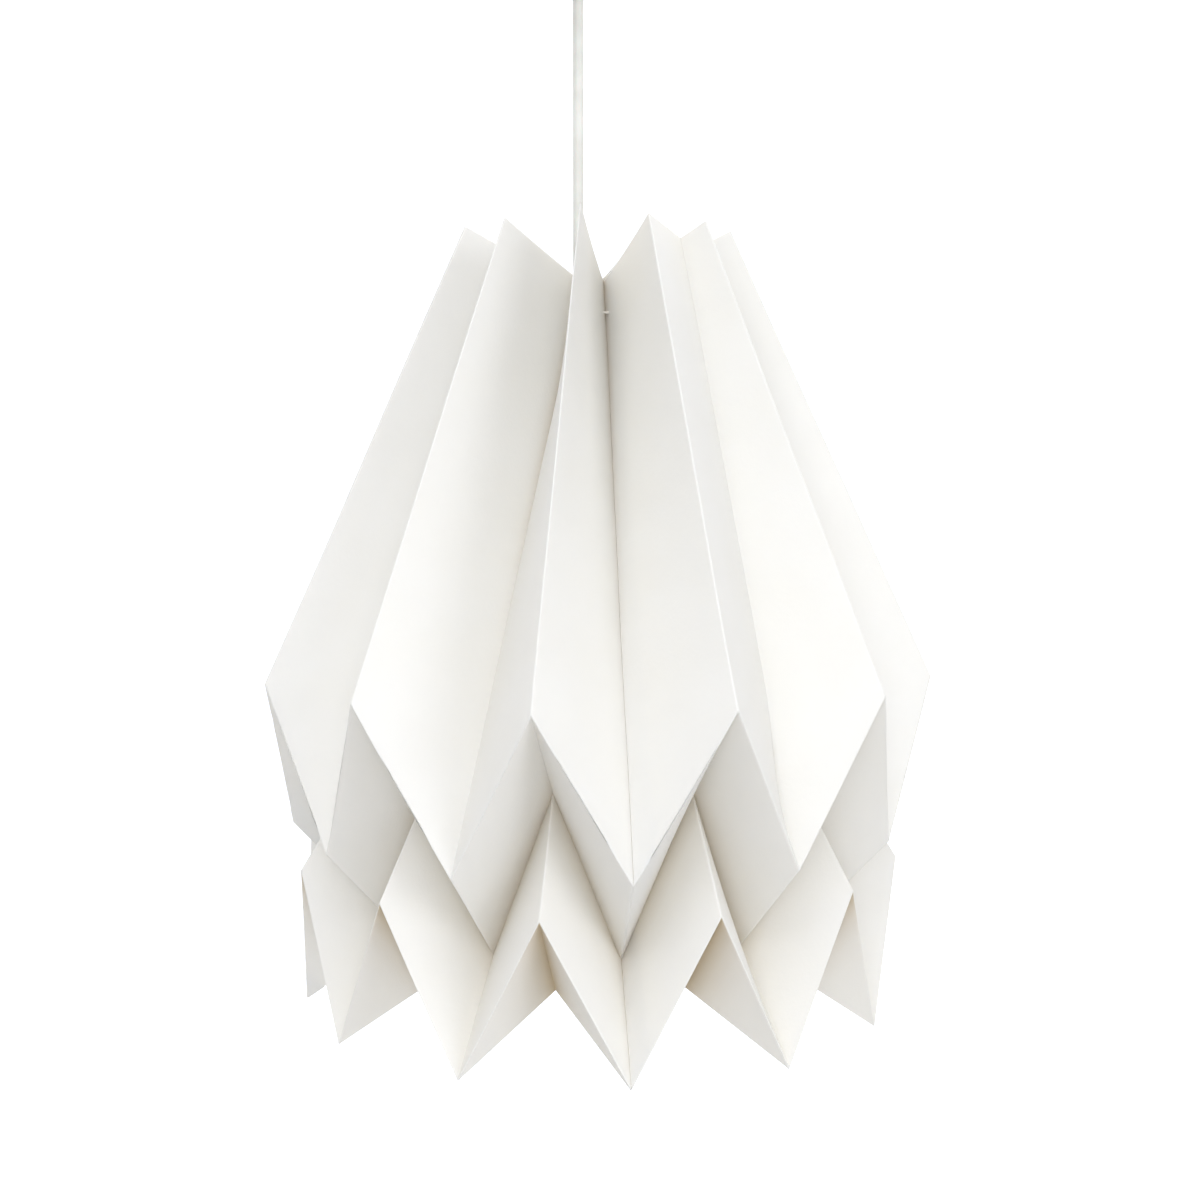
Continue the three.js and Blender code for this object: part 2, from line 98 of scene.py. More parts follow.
def rounded(outline, closed, radius):
    """The outline with each corner replaced by a short curve of four points."""
    points = [Vector(point) for point in outline]
    result = []
    for i, corner in enumerate(points):
        if not closed and i in (0, len(points) - 1):
            result.append(corner)
            continue
        before = points[i - 1] - corner
        after = points[(i + 1) % len(points)] - corner
        reach = min(radius, CORNER_SHARE * before.length, CORNER_SHARE * after.length)
        start = corner + before.normalized() * reach
        stop = corner + after.normalized() * reach
        for t in (0, 1 / 3, 2 / 3, 1):
            result.append(start * (1 - t) ** 2 + corner * 2 * t * (1 - t) + stop * t ** 2)
    return result


def turned(name, outline, axis_x=0.0, swell=None, edge=EDGE):
    """A piece turned about the Z axis through axis_x, from (radius, height) corners.

    swell(radius, height, angle) gives the radius of threads and flutes.
    """
    closed = min(outline[0][0], outline[-1][0]) > 0
    points = rounded(outline, closed, edge)
    mesh = bmesh.new()
    rings = []
    for radius, height in points:
        if radius < ON_AXIS:
            rings.append([mesh.verts.new((axis_x, 0, height))] * TURN_STEPS)
            continue
        ring = []
        for i in range(TURN_STEPS):
            angle = 2 * math.pi * i / TURN_STEPS
            wide = swell(radius, height, angle) if swell else radius
            ring.append(mesh.verts.new((axis_x + wide * math.cos(angle), wide * math.sin(angle), height)))
        rings.append(ring)
    pairs = list(zip(rings, rings[1:]))
    if closed:
        pairs.append((rings[-1], rings[0]))
    for low, high in pairs:
        for i in range(TURN_STEPS):
            j = (i + 1) % TURN_STEPS
            corners = list(dict.fromkeys((low[i], low[j], high[j], high[i])))
            if len(corners) > 2:
                mesh.faces.new(corners)
    return new_object(name, mesh)


def cut(obj, tool):
    """Cuts the tool's shape out of a piece, for good."""
    boolean = obj.modifiers.new("cut", "BOOLEAN")
    boolean.object = tool
    boolean.solver = "EXACT"
    bpy.context.view_layer.update()
    evaluated = obj.evaluated_get(bpy.context.evaluated_depsgraph_get())
    shaped = bpy.data.meshes.new_from_object(evaluated)
    obj.modifiers.remove(boolean)
    obj.data = shaped
    mesh = bmesh.new()
    mesh.from_mesh(shaped)
    mark_sharp(mesh)
    mesh.to_mesh(shaped)
    mesh.free()
    bpy.data.objects.remove(tool)


def block_tool(size, centre):
    mesh = bmesh.new()
    bmesh.ops.create_cube(mesh, size=1)
    bmesh.ops.scale(mesh, vec=size, verts=mesh.verts)
    bmesh.ops.translate(mesh, vec=centre, verts=mesh.verts)
    return new_object("tool", mesh)


def rod_along_y(name, radius, start, stop, height, edge=EDGE):
    """A round bar along Y at x = 0, from y = start to y = stop."""
    obj = turned(name, [(0, start), (radius, start), (radius, stop), (0, stop)], edge=edge)
    for vert in obj.data.vertices:
        x, y, z = vert.co
        vert.co = (x, z, height - y)
    return obj


def arc(radius, centre, start, stop, steps):
    """(radius, height) corners along a circle about (centre radius, centre height); 0 degrees is outwards."""
    corners = []
    for i in range(steps + 1):
        angle = math.radians(start + (stop - start) * i / steps)
        corners.append((centre[0] + radius * math.cos(angle), centre[1] + radius * math.sin(angle)))
    return corners


def side(radius, start, stop, steps=SIDE_STEPS):
    """Corners straight up or down a side, close enough together for a thread."""
    return [(radius, start + (stop - start) * i / steps) for i in range(steps + 1)]


# ---------------------------------------------------------------- camera

CAMERA_AT = (0.0103, -0.8043, -0.2731)
CAMERA_PITCH = 3.95                             # degrees below level
CAMERA_LENS = 50.26


def make_camera():
    data = bpy.data.cameras.new("studio_camera")
    data.lens = CAMERA_LENS
    data.sensor_width = 36
    data.clip_start = 0.01
    data.clip_end = 50
    camera = bpy.data.objects.new("studio_camera", data)
    camera.location = CAMERA_AT
    camera.rotation_euler = (math.radians(90 - CAMERA_PITCH), 0, 0)
    bpy.context.scene.collection.objects.link(camera)
    bpy.context.scene.camera = camera


make_camera()

# ---------------------------------------------------------------- the hanging cord


def make_cord():
    sheath = side(CORD_R, CORD_LOW, CORD_HIGH, CORD_POINTS)
    cord = turned("pendant_cord", [(0, CORD_LOW)] + sheath + [(0, CORD_HIGH)], edge=CORD_EDGE)
    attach(cord, "pendant")
    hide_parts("cord")
    return cord


cord = make_cord()

# ---------------------------------------------------------------- material helpers


class Nodes:
    """A short way to write a node material."""

    def __init__(self, name):
        self.material = bpy.data.materials.new(name)
        self.material.use_nodes = True
        self.tree = self.material.node_tree
        self.tree.nodes.clear()

    def add(self, kind, inputs=None, **settings):
        node = self.tree.nodes.new(kind)
        for key, value in settings.items():
            setattr(node, key, value)
        for key, value in (inputs or {}).items():
            if isinstance(value, bpy.types.NodeSocket):
                self.tree.links.new(value, node.inputs[key])
            else:
                node.inputs[key].default_value = value
        return node

    def place(self, scale=(1, 1, 1)):
        where = self.add("ShaderNodeTexCoord").outputs["Object"]
        return self.add("ShaderNodeMapping", {"Vector": where, "Scale": scale}).outputs["Vector"]

    def noise(self, vector, size, detail=3.0, roughness=0.5):
        """Noise whose grains are about size metres across."""
        inputs = {"Vector": vector, "Scale": 1 / size, "Detail": detail, "Roughness": roughness}
        return self.add("ShaderNodeTexNoise", inputs).outputs["Fac"]

    def between(self, factor, low, high, start=0.35, stop=0.65):
        """A number from low to high as factor goes from start to stop."""
        inputs = {"Value": factor, "From Min": start, "From Max": stop, "To Min": low, "To Max": high}
        return self.add("ShaderNodeMapRange", inputs).outputs["Result"]

    def tint(self, factor, first, second):
        mix = self.add("ShaderNodeMix", data_type="RGBA")
        mix.inputs["A"].default_value = (*first, 1)
        mix.inputs["B"].default_value = (*second, 1)
        self.tree.links.new(factor, mix.inputs["Factor"])
        return mix.outputs["Result"]

    def bump(self, height, depth, strength=1.0, normal=None):
        inputs = {"Height": height, "Distance": depth, "Strength": strength}
        if normal is not None:
            inputs["Normal"] = normal
        return self.add("ShaderNodeBump", inputs).outputs["Normal"]

    def finish(self, shader):
        output = self.add("ShaderNodeOutputMaterial")
        self.tree.links.new(shader, output.inputs["Surface"])
        return self.material


def dress(obj, material):
    """Gives every slot of a piece the same material."""
    slots = obj.data.materials
    if len(slots) == 0:
        slots.append(material)
    for i in range(len(slots)):
        slots[i] = material


# ---------------------------------------------------------------- materials

PAPER_LIGHT = (0.915, 0.918, 0.885)
PAPER_WARM = (0.905, 0.906, 0.868)
PAPER_FOLD_SHADE = (0.56, 0.46, 0.30)                 # painted shade deep in the folds: darker and warmer, standing for shade and light bounced between them
GLOW_DEEP = (0.95, 0.86, 0.64)                  # light that comes through the card
GLOW_LIGHT = (0.96, 0.87, 0.67)
GLOW_SHARE = 0.3                                # how much of the light passes through
SHEATH_LIGHT = (0.70, 0.69, 0.61)
SHEATH_DARK = (0.64, 0.63, 0.55)
FIBRE_STRETCH = (1, 1, 0.35)                    # the card's fibres lie mostly up and down
ALONG_Y = (1, 0.1, 1)                           # scratches and drawing marks run this way
ALONG_Z = (1, 1, 0.1)


def paper_material():
    n = Nodes("folded_card")
    where = n.place()
    mottle = n.noise(where, size=30 * MM, detail=4)
    fibre = n.noise(n.place(FIBRE_STRETCH), size=0.7 * MM, detail=5, roughness=0.6)
    pulp = n.noise(where, size=2.2 * MM, detail=4, roughness=0.55)
    colour = n.tint(n.between(mottle, 0, 1), PAPER_WARM, PAPER_LIGHT)
    # painted shade: the card's colour darkens and warms towards its folds, by a per-point amount that the sheets
    # store
    crevice = n.add("ShaderNodeAttribute", attribute_name="crevice").outputs["Fac"]
    fold_shaded = n.add("ShaderNodeMix", {"Factor": crevice}, data_type="RGBA")
    n.tree.links.new(colour, fold_shaded.inputs["A"])
    fold_shaded.inputs["B"].default_value = (*PAPER_FOLD_SHADE, 1)
    colour = fold_shaded.outputs["Result"]
    normal = n.bump(fibre, depth=0.06 * MM, strength=0.6)
    normal = n.bump(pulp, depth=0.12 * MM, strength=0.5, normal=normal)
    surface = n.add("ShaderNodeBsdfPrincipled", {
        "Base Color": colour, "Roughness": n.between(pulp, low=0.78, high=0.92), "Normal": normal,
        "Specular IOR Level": 0.25, "Sheen Weight": 0.15, "Sheen Roughness": 0.6,
    })
    through = n.tint(mottle, GLOW_DEEP, GLOW_LIGHT)
    glow = n.add("ShaderNodeBsdfTranslucent", {"Color": through, "Normal": normal})
    mix = n.add("ShaderNodeMixShader", {0: GLOW_SHARE, 1: surface.outputs[0], 2: glow.outputs[0]})
    return n.finish(mix.outputs[0])


def cord_material():
    n = Nodes("pvc_sheath")
    where = n.place()
    cloud = n.noise(where, size=12 * MM, detail=3)
    grain = n.noise(n.place(ALONG_Z), size=0.5 * MM, detail=4)
    colour = n.tint(n.between(cloud, 0, 1), SHEATH_DARK, SHEATH_LIGHT)
    surface = n.add("ShaderNodeBsdfPrincipled", {
        "Base Color": colour, "Roughness": n.between(grain, low=0.38, high=0.55),
        "Normal": n.bump(grain, depth=0.05 * MM, strength=0.5),
        "Subsurface Weight": 0.1, "Subsurface Scale": 2 * MM,
    })
    return n.finish(surface.outputs[0])


def moulded_material(name, light, dark, roughness=0.35, grain_size=0.9 * MM, coat=0.0):
    n = Nodes(name)
    where = n.place()
    cloud = n.noise(where, size=15 * MM, detail=3)
    grain = n.noise(where, grain_size, detail=3)
    surface = n.add("ShaderNodeBsdfPrincipled", {
        "Base Color": n.tint(n.between(cloud, 0, 1), dark, light),
        "Roughness": n.between(grain, low=roughness - 0.05, high=roughness + 0.1),
        "Normal": n.bump(grain, depth=0.03 * MM, strength=0.4),
        "Coat Weight": coat, "Coat Roughness": 0.2,
    })
    return n.finish(surface.outputs[0])


def metal_material(name, light, dark, roughness, stretch):
    n = Nodes(name)
    scratch = n.noise(n.place(stretch), size=0.4 * MM, detail=4)
    cloud = n.noise(n.place(), size=6 * MM, detail=3)
    surface = n.add("ShaderNodeBsdfPrincipled", {
        "Base Color": n.tint(n.between(cloud, 0, 1), dark, light), "Metallic": 1.0,
        "Roughness": n.between(scratch, low=roughness - 0.06, high=roughness + 0.12),
        "Normal": n.bump(scratch, depth=0.02 * MM, strength=0.4),
    })
    return n.finish(surface.outputs[0])


PAPER = paper_material()
SHEATH = cord_material()
WHITE_PLASTIC = moulded_material("white_moulding", (0.80, 0.795, 0.77), (0.76, 0.75, 0.72))
CERAMIC = moulded_material("glazed_ceramic", (0.86, 0.84, 0.79), (0.78, 0.76, 0.70),
                           roughness=0.25, grain_size=1.5 * MM, coat=0.4)
OPAL = moulded_material("opal_diffuser", (0.94, 0.93, 0.91), (0.90, 0.895, 0.87),
                        roughness=0.3, grain_size=1.2 * MM)
BLACK = moulded_material("black_insulator", (0.03, 0.03, 0.032), (0.018, 0.018, 0.02),
                         roughness=0.35, grain_size=0.7 * MM)
STEEL = metal_material("zinc_steel", (0.68, 0.69, 0.70), (0.55, 0.56, 0.58), 0.35, ALONG_Y)
BRASS = metal_material("brass", (0.80, 0.62, 0.30), (0.66, 0.48, 0.20), 0.3, ALONG_Z)
ALUMINIUM = metal_material("aluminium", (0.80, 0.81, 0.82), (0.70, 0.71, 0.72), 0.3, ALONG_Z)
STRING = moulded_material("cotton_string", (0.80, 0.77, 0.68), (0.68, 0.64, 0.54),
                          roughness=0.85, grain_size=0.4 * MM)

NODE_MATERIALS = {
    "paper": PAPER, "string": STRING, "cord_sheath": SHEATH, "white_plastic": WHITE_PLASTIC, "steel": STEEL,
    "brass": BRASS, "ceramic": CERAMIC, "aluminium": ALUMINIUM, "opal": OPAL, "black_plastic": BLACK,
}
for entry in frame["record"]["subparts"]:
    dress(frame["nodes"][entry["node"]], NODE_MATERIALS[entry["material_slot"]])
dress(cord, SHEATH)

# ---------------------------------------------------------------- the folded shade

RIDGES = 12
TURN = -8.9                                     # degrees from -Y to the foremost ridge
RIDGES_PER_SHEET = RIDGES // len(SHEETS)
FIRST_RIDGE = -2
TIP_Z = max(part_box(name)[1].z for name in SHEETS)

# Corners of a ridge fold and of a valley fold, in millimetres: the radius from the shade's axis, and the
# depth below the tips.
RIDGE_FOLD = [(64, 0), (158.5, 208), (113.5, 247), (143.5, 294), (106, 333)]
VALLEY_FOLD = [(14.5, 24.5), (144.5, 279), (106.5, 320), (139, 364.5), (139, 364.5)]
FOLD_BANDS = [30, 8, 8, 8]                      # rows of faces between one cross fold and the next
BAND_LENGTHS = [200 * MM, 55 * MM, 55 * MM, 55 * MM]
COLUMN_COUNT = 13                               # columns of faces across one panel
KNEE_COLUMNS = 6                                # columns of faces beyond the leaning panel's knee
TAB_COLUMNS = 4
CREASE = 0.55 * MM                              # half the width of a crease's rounded edge
CARD = 0.45 * MM                                # the card's thickness
PANEL_WIDTH = 56 * MM
TAB_WIDTH = 12 * MM
SEAM = 0.5 * MM                                 # the gap between two sheets at a seam
TAB_DEPTH = 0.65 * MM                           # the glue tab lies this far inside the next panel

# How far the tops of some ridge and valley folds stray from the regular pleat, in millimetres.
TIP_SHIFT = {0: (3.5, 0, 4.0), 1: (0.3, 0, 0), 6: (4, 0, -2), 7: (0, 0, -4)}
VALLEY_TOP_SHIFT = {0: (2.4, 0, 0)}


def fold_corner(outline, row, angle):
    radius, depth = (number * MM for number in outline[row])
    return Vector((AXIS_X + radius * math.sin(angle), -radius * math.cos(angle), TIP_Z - depth))


def ridge_angle(ridge):
    return math.radians(TURN + ridge * 360 / RIDGES)


def ridge_point(ridge, row):
    point = fold_corner(RIDGE_FOLD, row, ridge_angle(ridge))
    if row == 0:
        point += Vector(TIP_SHIFT.get(ridge, (0, 0, 0))) * MM
    return point


def valley_point(ridge, side, row):
    """The valley fold beside a ridge; side is 1 towards the next ridge and -1 towards the one before."""
    left = ridge if side > 0 else ridge - 1
    point = fold_corner(VALLEY_FOLD, row, ridge_angle(left + 0.5))
    if row == 0:
        point += Vector(VALLEY_TOP_SHIFT.get(left, (0, 0, 0))) * MM
    return point


def spaced(count, length):
    """Rows or columns from 0 to 1, with a narrow one at each end for the rounded crease."""
    edge = CREASE / length
    waves = [0.5 - 0.5 * math.cos(math.pi * i / (count - 2)) for i in range(count - 1)]
    return [0] + [edge + (1 - 2 * edge) * wave for wave in waves] + [1]


def panel_point(ridge, side, band, across, down):
    top = ridge_point(ridge, band).lerp(valley_point(ridge, side, band), across)
    low = ridge_point(ridge, band + 1).lerp(valley_point(ridge, side, band + 1), across)
    return top.lerp(low, down)


def smooth_step(value):
    value = min(max(value, 0), 1)
    return value * value * (3 - 2 * value)


LEANING = 1                                     # the ridge whose right panel leans on the next pleat
LEAN_TOUCH = 0.27                               # how far across the next panel it meets it, at the top
LEAN_KNEE = 0.9                                 # the column of the leaning panel that bends there
LEAN_CLEARS = 0.75                              # from this far down it swings clear again
BOW = 1.6 * MM                                  # how far an upper panel bulges between its folds
TUCK_LENGTH = BAND_LENGTHS[1]
HEM_BAND = 3                                    # the last band, where the ridge folds are the inner ones
HEM_FOLD_SHADE = 1.0                                   # how strongly painted shade darkens the hem's inner folds, from 0 to 1
NECK_FOLD_SHADE = 0.8                                  # the same for the valley folds, at the neck
TUCK_FOLD_SHADE = 0.45                                 # and for the tuck folds
FOLD_SHADE_REACH = 9 * MM                          # the painted shade fades this far from a fold
NECK_SHADE_REACH = 3 * MM                             # and this far from a valley fold at the neck
WAVE = 0.5 * MM                                 # slow unevenness of the whole shade
WAVE_SCALE = 11
WAVE_SEED = 12
CREASE_ROUNDING = 0.3                           # how far a crease's points move towards their neighbours
SAME_PLACE = 0.02 * MM                          # points closer than this are joined

noise.seed_set(WAVE_SEED)                       # without a seed the unevenness changes with every run


def bow(ridge, side, band, across, down):
    """Bulge of an upper panel along its own normal, a little different on each panel."""
    if band > 0:
        return Vector((0, 0, 0))
    along = panel_point(ridge, side, 0, 0, 1) - panel_point(ridge, side, 0, 0, 0)
    over = panel_point(ridge, side, 0, 1, 0.5) - panel_point(ridge, side, 0, 0, 0.5)
    normal = over.cross(along).normalized() * side
    crown = 4 * across * (1 - across)
    uneven = 0.45 + 1.2 * noise.noise(Vector((ridge * 1.7, side * 2.3, 0.4)))
    fullest_midway = 0.55 + 0.45 * math.sin(math.pi * down)
    return normal * BOW * uneven * crown * fullest_midway


def sheet_columns(first, total):
    """(ridge, side, across, inset) of each column of one sheet, from its first valley to its glue tab.

    The leaning panel has extra columns beyond its knee; its last two are those of any crease.
    """
    columns = []
    steps = spaced(COLUMN_COUNT, PANEL_WIDTH)
    for i in range(total):
        ridge = first + i
        start = 1 - SEAM / PANEL_WIDTH if i == 0 else 1
        left = [min(step, start) for step in reversed(steps)]
        columns += [(ridge, -1, across, 0) for across in (left if i == 0 else left[1:])]
        if ridge == LEANING:
            bent = [step * LEAN_KNEE for step in steps[1:]]
            bent += [LEAN_KNEE + (1 - LEAN_KNEE) * k / KNEE_COLUMNS for k in range(1, KNEE_COLUMNS)]
            columns += [(ridge, 1, across, 0) for across in bent + steps[-2:]]
        else:
            columns += [(ridge, 1, across, 0) for across in steps[1:]]
    beyond = first + total
    tab = TAB_WIDTH / PANEL_WIDTH
    columns += [(beyond, -1, 1 - CREASE / PANEL_WIDTH, 1)]
    columns += [(beyond, -1, 1 - tab * k / TAB_COLUMNS, 1) for k in range(1, TAB_COLUMNS + 1)]
    return columns


def crevice(band, across, down):
    """How much painted shade darkens and warms a point of the card: most in an inner fold or a tuck fold, 0 out on
    the panel.
    """
    from_fold = (across if band == HEM_BAND else 1 - across) * PANEL_WIDTH
    from_tuck = {1: 1 - down, 2: down}.get(band, 1) * TUCK_LENGTH
    in_tuck = TUCK_FOLD_SHADE * math.exp(-from_tuck / FOLD_SHADE_REACH)
    in_fold = 0
    if band == 0:
        in_fold = NECK_FOLD_SHADE * (1 - down) ** 2 * math.exp(-from_fold / NECK_SHADE_REACH)
    if band == HEM_BAND:
        in_fold = HEM_FOLD_SHADE * math.exp(-from_fold / FOLD_SHADE_REACH)
    return max(in_fold, in_tuck)


def leaning_point(across, down):
    """A point of the leaning panel.

    It lies against the next pleat near its tip and stands clear at its foot.
    """
    reach = LEAN_TOUCH + (1 - LEAN_TOUCH) * down
    touch = panel_point(LEANING + 1, -1, 0, reach, down)
    touch += bow(LEANING + 1, -1, 0, reach, down)
    clear = panel_point(LEANING, 1, 0, LEAN_KNEE, down)
    knee = touch.lerp(clear, smooth_step((down - LEAN_CLEARS) / (1 - LEAN_CLEARS)))
    if across < LEAN_KNEE:
        return panel_point(LEANING, 1, 0, 0, down).lerp(knee, across / LEAN_KNEE)
    return knee.lerp(panel_point(LEANING, 1, 0, 1, down), (across - LEAN_KNEE) / (1 - LEAN_KNEE))


def sheet_rows():
    """(band, down) of each row of a sheet, from its neck edge to its hem."""
    rows = []
    for band, count in enumerate(FOLD_BANDS):
        steps = spaced(count, BAND_LENGTHS[band])
        rows += [(band, down) for down in (steps if band == 0 else steps[1:])]
    return rows


def card_point(ridge, side, band, across, down, inset):
    """A point of the card with its bulge, its lean, its glue tab's inset and its unevenness."""
    point = panel_point(ridge, side, band, across, down)
    point += bow(ridge, side, band, across, down)
    if (ridge, side, band) == (LEANING, 1, 0):
        point = leaning_point(across, down)
    if inset:
        inwards = Vector((AXIS_X - point.x, -point.y, 0)).normalized()
        point += inwards * TAB_DEPTH
    return point + noise.noise_vector(point * WAVE_SCALE) * WAVE


def round_creases(mesh, grid, columns, rows):
    """Moves the points on a fold part of the way to their neighbours, so no crease is knife sharp."""
    crease_verts = set()
    for c, (ridge, side, across, inset) in enumerate(columns):
        for r, (band, down) in enumerate(rows):
            on_fold = across in (0, 1) and 0 < c < len(columns) - 1
            on_cross = down == 1 and band < len(FOLD_BANDS) - 1
            if on_fold or on_cross:
                crease_verts.add(grid[c][r])
    moves = {}
    for vert in crease_verts:
        near = [edge.other_vert(vert) for edge in vert.link_edges]
        middle = sum((other.co for other in near), Vector()) / len(near)
        moves[vert] = vert.co.lerp(middle, CREASE_ROUNDING) if len(near) == 4 else vert.co.copy()
    for vert, place in moves.items():
        vert.co = place


def mark_knee(mesh, grid, columns, rows):
    """Keeps the leaning panel's bend sharp in the shading, and everything else smooth."""
    knee_verts = set()
    for c, (ridge, side, across, inset) in enumerate(columns):
        if (ridge, side, across) == (LEANING, 1, LEAN_KNEE):
            knee_verts.update(vert for vert, (band, down) in zip(grid[c], rows) if band == 0)
    for edge in mesh.edges:
        edge.smooth = not (edge.verts[0] in knee_verts and edge.verts[1] in knee_verts)


def sheet_mesh(name, first, total):
    columns = sheet_columns(first, total)
    rows = sheet_rows()
    mesh = bmesh.new()
    # painted shade: each point keeps how much its colour darkens towards the folds
    fold_shade_layer = mesh.verts.layers.float.new("crevice")
    grid = []
    for ridge, side, across, inset in columns:
        line = []
        for band, down in rows:
            vert = mesh.verts.new(card_point(ridge, side, band, across, down, inset))
            vert[fold_shade_layer] = crevice(band, across, down)
            line.append(vert)
        grid.append(line)
    for c in range(len(columns) - 1):
        for r in range(len(rows) - 1):
            mesh.faces.new((grid[c][r], grid[c][r + 1], grid[c + 1][r + 1], grid[c + 1][r]))
    mark_knee(mesh, grid, columns, rows)
    round_creases(mesh, grid, columns, rows)
    bmesh.ops.remove_doubles(mesh, verts=mesh.verts, dist=SAME_PLACE)
    bmesh.ops.dissolve_degenerate(mesh, edges=mesh.edges, dist=SAME_PLACE / 2)
    bmesh.ops.recalc_face_normals(mesh, faces=mesh.faces)
    data = bpy.data.meshes.new(name)
    mesh.to_mesh(data)
    mesh.free()
    data.shade_smooth()
    return data


def make_sheet(index, node):
    name = node.replace("paper_sheet", "card")
    data = sheet_mesh(name, FIRST_RIDGE + index * RIDGES_PER_SHEET, RIDGES_PER_SHEET)
    sheet = bpy.data.objects.new(name, data)
    bpy.context.scene.collection.objects.link(sheet)
    solid = sheet.modifiers.new("thickness", "SOLIDIFY")
    solid.thickness = CARD
    solid.offset = 0
    solid.use_even_offset = False
    weighted = sheet.modifiers.new("normals", "WEIGHTED_NORMAL")
    weighted.mode = "FACE_AREA"
    weighted.keep_sharp = True
    dress(sheet, PAPER)
    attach(sheet, "shade")
    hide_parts(node)
    return sheet


for index, node in enumerate(SHEETS):
    make_sheet(index, node)

# ---------------------------------------------------------------- the small parts

BODY_OF = {node: body for body, nodes in frame["record"]["behaviour"]["bodies"].items() for node in nodes}
SLOT_OF = {entry["node"]: entry["material_slot"] for entry in frame["record"]["subparts"]}
CORD_BORE = 2.8 * MM                            # radius of the cord's hole through both cord grips
FINE_EDGE = 0.2 * MM                            # rounding of thin edges
FLAT = math.radians(2)                          # faces that meet at less than this are one face
STEEP = math.radians(30)                        # an edge steeper than this is rounded


def stand_in(obj, node):
    """The piece is shown instead of a CAD node, moves with it and is painted as it is."""
    weighted = obj.modifiers.new("normals", "WEIGHTED_NORMAL")
    weighted.keep_sharp = True
    dress(obj, NODE_MATERIALS[SLOT_OF[node]])
    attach(obj, BODY_OF[node])
    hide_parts(node)


def softened(name, node, width):
    """A copy of a CAD node with every sharp edge rounded."""
    mesh = bmesh.new()
    mesh.from_mesh(frame["nodes"][node].data)
    bmesh.ops.remove_doubles(mesh, verts=mesh.verts, dist=SAME_PLACE / 2)
    mesh.transform(frame["nodes"][node].matrix_world)
    bmesh.ops.dissolve_limit(mesh, angle_limit=FLAT, verts=mesh.verts, edges=mesh.edges)
    inside = [edge for edge in mesh.edges if len(edge.link_faces) == 2]
    steep = [edge for edge in inside if edge.calc_face_angle() > STEEP]
    bmesh.ops.bevel(mesh, geom=steep, offset=width, segments=2, profile=0.5, affect="EDGES",
                    clamp_overlap=True)
    stand_in(new_object(name, mesh), node)


def low_high(node):
    """The lowest and highest z of a CAD node."""
    low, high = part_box(node)
    return low.z, high.z


def make_rose_cup():
    low, high = low_high("rose_cup")
    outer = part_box("rose_cup")[1].x
    wall = 2 * MM
    corner = 9 * MM
    hole = 5.2 * MM
    groove = 0.5 * MM
    groove_top = high - 2.6 * MM
    groove_low = high - 4 * MM
    groove_slope = 0.4 * MM
    bend = (outer - corner, low + corner)
    outside = arc(corner, bend, -90, 0, 8)
    inside = arc(corner - wall, bend, 0, -90, 8)
    rim = [
        (outer, groove_low), (outer - groove, groove_low + groove_slope),
        (outer - groove, groove_top - groove_slope), (outer, groove_top),
        (outer, high), (outer - wall, high),
    ]
    outline = [(hole, low)] + outside + rim + inside + [(hole, low + wall)]
    stand_in(turned("ceiling_rose_cup", outline, edge=FINE_EDGE), "rose_cup")


def make_rose_grip():
    low, high = low_high("rose_cord_grip")
    top = low_high("rose_cup")[0] - 0.3 * MM
    mouth_in = 5.8 * MM
    mouth_out = 6.6 * MM
    cone = 7.4 * MM
    cone_top = SWING_Z + 5 * MM
    flange = 8.4 * MM
    flange_low = SWING_Z + 7 * MM
    stem = 4.9 * MM
    bell = arc(5.3 * MM, (0, SWING_Z), 58, 0, 8)
    outline = [
        (mouth_in, low), (mouth_out, low), (cone, cone_top), (flange, flange_low),
        (flange, top), (stem, top), (stem, high), (CORD_BORE, high),
    ]
    grip = turned("rose_cord_grip_body", outline + bell, edge=0.25 * MM)
    make_grip_screw("rose_grip_screw", grip)
    stand_in(grip, "rose_cord_grip")


def make_grip_screw(node, grip):
    """The slotted grub screw in the side of a cord grip, and its hole."""
    low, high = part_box(node)
    radius = (high.x - low.x) / 2
    height = (low.z + high.z) / 2
    clearance = 0.3 * MM
    hole_start = 2 * MM
    past_end = 2 * MM
    slot_width = 0.5 * MM
    slot_depth = 1.2 * MM
    cut(grip, rod_along_y("tool", radius + clearance, hole_start, high.y + past_end, height, 0))
    screw = rod_along_y(node + "_slotted", radius, low.y, high.y, height, 0.25 * MM)
    slot_length = 2 * radius + 1 * MM
    cut(screw, block_tool((slot_width, slot_depth, slot_length), (0, high.y, height)))
    stand_in(screw, node)


def make_holder_grip():
    low, high = low_high("holder_cord_grip")
    shoulder = low_high("holder_cap")[1] + 0.3 * MM
    stem = 4.8 * MM
    collar = 6.6 * MM
    collar_top = high - 11 * MM
    taper = 5.8 * MM
    taper_low = high - 9 * MM
    taper_top = 4.2 * MM
    grip = turned("holder_cord_grip_body", [
        (CORD_BORE, low), (stem, low), (stem, shoulder), (collar, shoulder),
        (collar, collar_top), (taper, taper_low), (taper_top, high), (CORD_BORE, high),
    ], edge=0.3 * MM)
    make_grip_screw("holder_grip_screw", grip)
    stand_in(grip, "holder_cord_grip")


HOLDER_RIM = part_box("holder_cap")[1].x          # radius where the cap meets the skirt
FLUTES = 24
FLUTE_DEPTH = 0.22 * MM


def fluted(radius, height, angle):
    """The lampholder's rim, with shallow grip flutes."""
    if radius > HOLDER_RIM - 0.3 * MM:
        return radius - FLUTE_DEPTH * (0.5 - 0.5 * math.cos(FLUTES * angle))
    return radius


